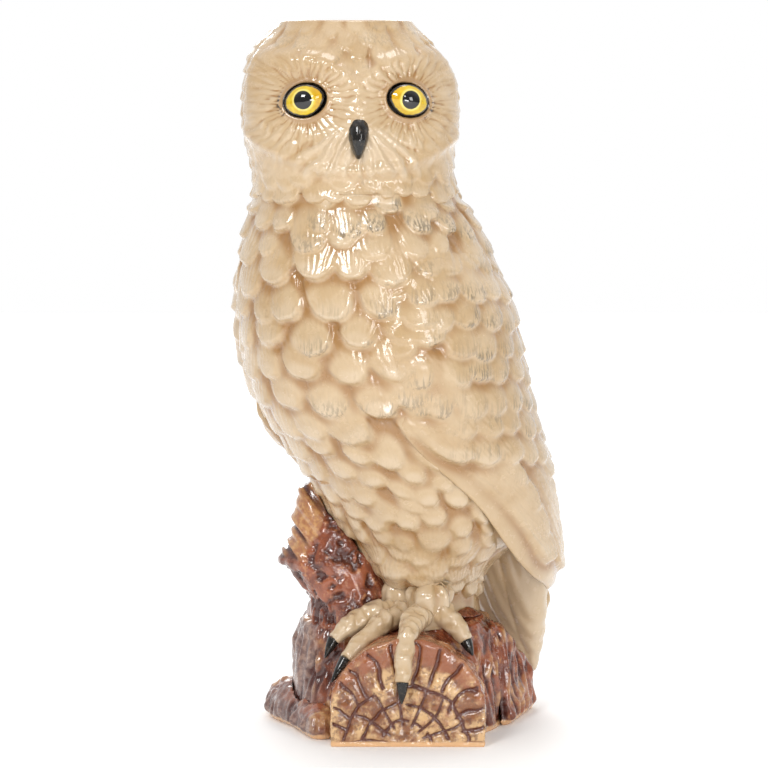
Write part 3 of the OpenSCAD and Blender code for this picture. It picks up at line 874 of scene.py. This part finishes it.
def build_eye(name, which):
    """An almond dome that tilts down to the beak, with its outline painted on."""
    wide, tall, dome, back = 11.0, 8.4, 4.6, 3.0
    pupil_r, smallest = 4.9, 0.004
    spot = CROWN + (FACE_X + which * EYE_GAP / 2) * HEAD_SIDE + FACE_DEPTH * HEAD_FRONT
    turn = which * EYE_TURN
    out = math.cos(turn) * HEAD_FRONT + math.sin(turn) * HEAD_SIDE
    across = -math.sin(turn) * HEAD_FRONT + math.cos(turn) * HEAD_SIDE
    n, levels = 96, 26
    a = np.arange(n) * math.tau / n
    tilt = -which * 0.30
    points, far, beakwards, pupil = [], [], [], []
    for i in range(levels + 1):
        t = max((levels - i) / levels, smallest)
        u = np.sign(np.cos(a)) * np.abs(np.cos(a)) ** 1.08 * wide * t
        v = np.sin(a) * tall * t * (1 - 0.10 * np.cos(a) ** 2)
        x = u * math.cos(tilt) - v * math.sin(tilt)
        z = u * math.sin(tilt) + v * math.cos(tilt)
        h = np.full(n, -0.6 + dome * (1 - t ** 2.2))
        ring = np.empty((n, 3))
        ring[:, :2] = spot + x[:, None] * across + h[:, None] * out
        ring[:, 2] = EYE_Z + z
        points.append(ring)
        far.append(np.full(n, t))
        beakwards.append(np.clip(-which * np.cos(a) * t, 0, 1))
        pupil.append(np.hypot(x, z - 0.3) / pupil_r)
    rear = points[0].copy()
    rear[:, :2] -= back * out
    points.insert(0, rear)
    for values in (far, beakwards, pupil):
        values.insert(0, values[0])
    faces = stack_faces(len(points), n, closed=False)
    marks = {"out": np.array(far), "inner": np.array(beakwards), "pupil": np.array(pupil)}
    make(name + "_glazed", np.concatenate(points), faces, IRIS, marks, name)


build_eye("left_eye", 1)
build_eye("right_eye", -1)

# ---- pieces grown from their nodes -------------------------------------------------
# A shape function takes a piece's points and their outward directions. It returns how far
# each point moves outwards, and the marks that the glaze reads.

def grown(name, voxel, rounds, shape, material, suffix, skirt=0.0):
    """A piece whose points move outwards by what shape says, which also gives its marks.
    skirt is how far its foot slides down over the piece that it stands on."""
    points, out, faces = remeshed(name, voxel, rounds)
    lift, marks = shape(points, out)
    moved = points + out * lift[:, None]
    moved[:, 2] -= skirt * ease(70, 62, points[:, 2])
    moved[:, 2] = np.where(points[:, 2] < 1.5, np.maximum(points[:, 2], 0), moved[:, 2])
    moved[:, 2] = np.maximum(moved[:, 2], 0.0)
    make(name + suffix, moved, faces, material, marks, name)


def plain(points, out):
    """A smooth piece, as it is."""
    return np.zeros(len(points)), {}


def tail_shape(points, out):
    """Long feathers side by side, with barbs that slant down their length. Its glaze marks paint
    the whole tail lighter, as painted light.
    """
    heights = [20, 34, 60, 90, 118]
    mid = np.interp(points[:, 2], heights, [77, 73, 64, 60, 57])
    half = np.interp(points[:, 2], heights, [5, 12, 24, 28, 28])
    across = (points[:, :2] - np.stack([mid, 52 + 0 * mid], -1)) @ SIDE
    s = across / half
    quills = np.abs(np.sin(math.pi * (s * 1.6 + 0.25)))
    ridge = 1.5 * quills ** 0.5 + 2.0 * ease(20, 50, points[:, 2])
    barbs = 0.28 * np.cos(s * half / 1.15 + points[:, 2] * 0.12)
    wander = 0.4 * noise(points, (9, 9, 26), 3)
    hollow = np.clip(0.35 - quills, -0.3, 0.4)
    blank = np.zeros(len(points))
    # Painted light: the hollow mark is lowered by 0.7 and the tint is 1, the lightest, so the
    # whole tail takes the lighter raised-feather cream with almost no ochre. This lightens the
    # tail in place of the light that the wing and the body keep off it. Only the stripes between
    # the quills stay a little darker.
    return ridge + barbs + wander, {
        "hollow": hollow - 0.3 * wander - 0.7, "tip": blank + 0.5, "brush": blank,
        "tint": blank + 1.0,
    }


def foot_shape(points, out):
    """Toes are wrinkled across, and the legs are feathered down to them and fuller."""
    leg = ease(60, 72, points[:, 2])
    streaks = noise(points, (2.6, 2.6, 16.0), 21)
    wrinkles = noise(points, (5.0, 5.0, 2.6), 22)
    z = points[:, 2]
    full = 4.2 * ease(90, 78, z) - 6.0 * ease(80, 93, z)
    lift = leg * (full + 1.5 * streaks) + (1 - leg) * (0.3 + 0.35 * wrinkles)
    hollow = np.clip(-0.5 * streaks * leg - 0.35 * wrinkles * (1 - leg) - 0.3, -0.6, 0.6)
    blank = np.zeros(len(points))
    return lift, {"hollow": hollow, "tip": blank, "brush": blank, "tint": blank + 0.5}


def bark_shape(points, out):
    """Upright strings of bark on the sides, pits and lumps on what faces up."""
    side_on = 1 - np.abs(out[:, 2])
    strings = noise(points + 3 * noise(points, 26, 4)[:, None], (3.4, 3.4, 40), 31)
    fine = noise(points, (2.6, 2.6, 17), 32)
    pits = layered(points, 6.5, 33)
    lift = side_on * (2.1 * strings + 0.7 * fine) + (1 - side_on) * 0.8 * pits + 0.12 * pits
    low = ease(5.0, 1.0, points[:, 2])
    inside = ease(-0.2, -0.9, out[:, 2])
    lift = lift * (1 - low) * (1 - inside)
    tone = layered(points, 16, 34)
    grey = ease(0.1, 0.6, side_on) * ease(-38, -52, points[:, 0])
    return lift, {
        "hollow": np.clip(-1.0 * strings * side_on - 0.4 * pits, -1, 1),
        "tone": tone + 0.6 * strings * side_on, "grey": grey * 0.8,
        "foot": ease(4.0, 2.2, points[:, 2]),
    }


def snag_shape(points, out):
    """Split wood on the upper left, pitted bark with drips of dark glaze on the rest."""
    x, z = points[:, 0], points[:, 2]
    split = ease(-38, -46, x + (118 - z) * 0.45) * ease(92, 100, z)
    along = (x + 50) * 0.77 + (z - 120) * 0.64
    across = (x + 50) * 0.64 - (z - 120) * 0.77
    grain = np.stack([across, along, points[:, 1]], -1)
    grooves = noise(grain, (30, 2.6, 30), 41)
    pits = layered(points, 5.5, 42)
    hole = np.minimum(pits, 0.1)
    strings = noise(points, (4.2, 4.2, 26), 43) * ease(-44, -52, x) * ease(100, 90, z)
    knot = 3.0 * np.exp(-(np.hypot(x + 66, z - 98) / 6) ** 2)
    lift = split * 1.4 * grooves + (1 - split) * (1.7 * hole + 0.4) + 1.4 * strings + knot
    return lift, {
        "hollow": np.clip((1 - split) * (-0.9 * pits + 0.1) - split * grooves * 0.7, -1, 1),
        "tone": split * 1.6 - 0.6 + 0.35 * layered(points, 13, 44),
        "grey": ease(-52, -60, x) * ease(100, 92, z) * 0.7, "foot": 0 * z,
    }


def log_shape(points, out):
    """Growth rings and cracks cut into the sawn face, each broken off and wandering."""
    pith_x, pith_z = 4.0, 1.0
    spacing = 9.6
    x, z = points[:, 0] - pith_x, points[:, 2] - pith_z
    front = ease(0.4, 0.8, -out[:, 1])
    wander = noise(points, 14, 51)
    dist = np.hypot(x, z) + 1.2 * wander + 0.5 * noise(points, 5, 57)
    turn = np.arctan2(z, x)
    ring = np.abs(np.mod(dist, spacing) - spacing / 2)
    arcs = np.stack([turn * 9, dist // spacing * 7, 0 * x], -1)
    broken = ease(-1.0, -0.5, noise(arcs, 3.0, 58))
    rings = np.exp(-(ring / 0.95) ** 2) * ease(4, 8, dist) * ease(40, 36, dist) * broken
    near = np.abs(np.sin(turn * 7 + 0.5 * wander + 0.5)) * dist / 7
    outer = np.abs(np.sin(turn * 13 + 0.7 * noise(points, 9, 53))) * dist / 13
    cracks = np.maximum(
        np.exp(-(near / 0.9) ** 2) * ease(8, 13, dist) * ease(40, 30, dist),
        np.exp(-(outer / 1.25) ** 2) * ease(31, 35, dist + 3 * noise(points, 6, 59)),
    )
    cut = np.maximum(rings, cracks) * front
    pits = layered(points, 4.5, 54)
    slabs = noise(np.stack([turn * 12, dist, 0 * x], -1), (5, 9, 1), 55) * front
    rim = ease(0.6, 0.2, -out[:, 1]) * ease(16, 34, points[:, 2])
    lift = -2.1 * cut + 0.4 * pits + 0.7 * slabs + rim * 1.0
    lift = lift * ease(0.5, 4.0, points[:, 2])
    top = ease(43, 49, np.hypot(x, z) + 3 * wander) * ease(14, 40, points[:, 2])
    return lift, {
        "hollow": np.clip(cut - 0.1, 0, 1), "foot": ease(3.6, 2.0, points[:, 2]),
        "tone": np.clip(rim + top + 0.45 * pits - 0.1, 0, 1),
    }


grown("tail", 1.1, 3, tail_shape, FEATHER, "_feathers")
for foot in ("left_foot", "right_foot"):
    grown(foot, 0.8, 8, foot_shape, FEATHER, "_skin")
for claw in ("left_front_claw", "left_side_claw", "right_front_claw", "right_side_claw"):
    grown(claw, 0.45, 3, plain, BLACK, "_glazed")
grown("beak", 0.5, 6, plain, BLACK, "_glazed")
for root in ("left_root", "right_root"):
    grown(root, 1.1, 3, bark_shape, BARK, "_bark")
grown("stump", 1.1, 2, bark_shape, BARK, "_bark")
grown("snag", 1.0, 3, snag_shape, BARK, "_bark", skirt=5.0)
grown("log_end", 0.9, 2, log_shape, WOOD, "_wood")

# ---- floor, light and camera -------------------------------------------------------


def studio():
    """A white table top, big soft lamps and the camera in front, a little above."""
    scene = bpy.context.scene
    scene.view_settings.view_transform = "Standard"
    world = bpy.data.worlds.new("studio")
    scene.world = world
    world.use_nodes = True

    # The room is white behind the figure and overhead, and dimmer in front of it, so the
    # glaze has contrast.
    tree = world.node_tree
    way = tree.nodes.new("ShaderNodeTexCoord")
    parts = tree.nodes.new("ShaderNodeVectorMath")
    parts.operation = "DOT_PRODUCT"
    parts.inputs[1].default_value = (0.0, 1.0, 0.9)
    room = tree.nodes.new("ShaderNodeMapRange")
    for socket, value in (("From Min", -0.25), ("From Max", 0.75), ("To Min", 0.26),
                          ("To Max", 1.0)):
        room.inputs[socket].default_value = value
    tree.links.new(way.outputs["Generated"], parts.inputs[0])
    tree.links.new(parts.outputs["Value"], room.inputs[0])
    tree.links.new(room.outputs[0], tree.nodes["Background"].inputs["Strength"])
    tree.nodes["Background"].inputs["Color"].default_value = (1, 1, 1, 1)

    mesh = bpy.data.meshes.new("floor")
    half = 2.5
    mesh.from_pydata([(-half, -half, 0), (half, -half, 0), (half, half, 0), (-half, half, 0)],
                     [], [(0, 1, 2, 3)])
    floor = bpy.data.objects.new("floor", mesh)
    scene.collection.objects.link(floor)
    paper = Nodes("paper")
    shade = paper.mix(paper.between(paper.noise(3.0), 0.3, 0.7), (0.985, 0.985, 0.985),
                      (0.975, 0.975, 0.975))
    mesh.materials.append(paper.finish(shade, 0.9, coat=0.0))

    # Each lamp's place, width, height and power. All of them point at the breast.
    aim = Vector((-0.01, 0, 0.2))
    for name, place, width, height, power in (
        ("key", (-0.75, -1.5, 1.25), 0.45, 0.45, 14.0),
        ("fill", (1.1, -1.5, 0.6), 0.35, 0.6, 4.5),
        ("window", (0.4, -1.7, 1.15), 0.25, 0.3, 2.5),
        ("low", (0.45, -1.6, 0.15), 0.5, 0.2, 5.0),
        ("top", (0.1, 0.2, 1.9), 0.6, 0.6, 5.0),
        ("back", (-0.2, 2.4, 1.3), 1.2, 1.2, 24.0),
    ):
        data = bpy.data.lights.new(name, "AREA")
        data.shape = "RECTANGLE"
        data.size, data.size_y, data.energy = width, height, power
        lamp = bpy.data.objects.new(name, data)
        lamp.location = place
        lamp.rotation_euler = (aim - lamp.location).to_track_quat("-Z", "Y").to_euler()
        scene.collection.objects.link(lamp)

    # A long lens from a little above the figure's head, which looks slightly down.
    data = bpy.data.cameras.new("camera")
    data.sensor_width = 36.0
    data.lens = 146.0
    camera = bpy.data.objects.new("camera", data)
    camera.location = (0.0, -1.75, 0.400)
    target = Vector((-0.008, 0.0, 0.1955))
    camera.rotation_euler = (target - camera.location).to_track_quat("-Z", "Y").to_euler()
    scene.collection.objects.link(camera)
    scene.camera = camera


studio()
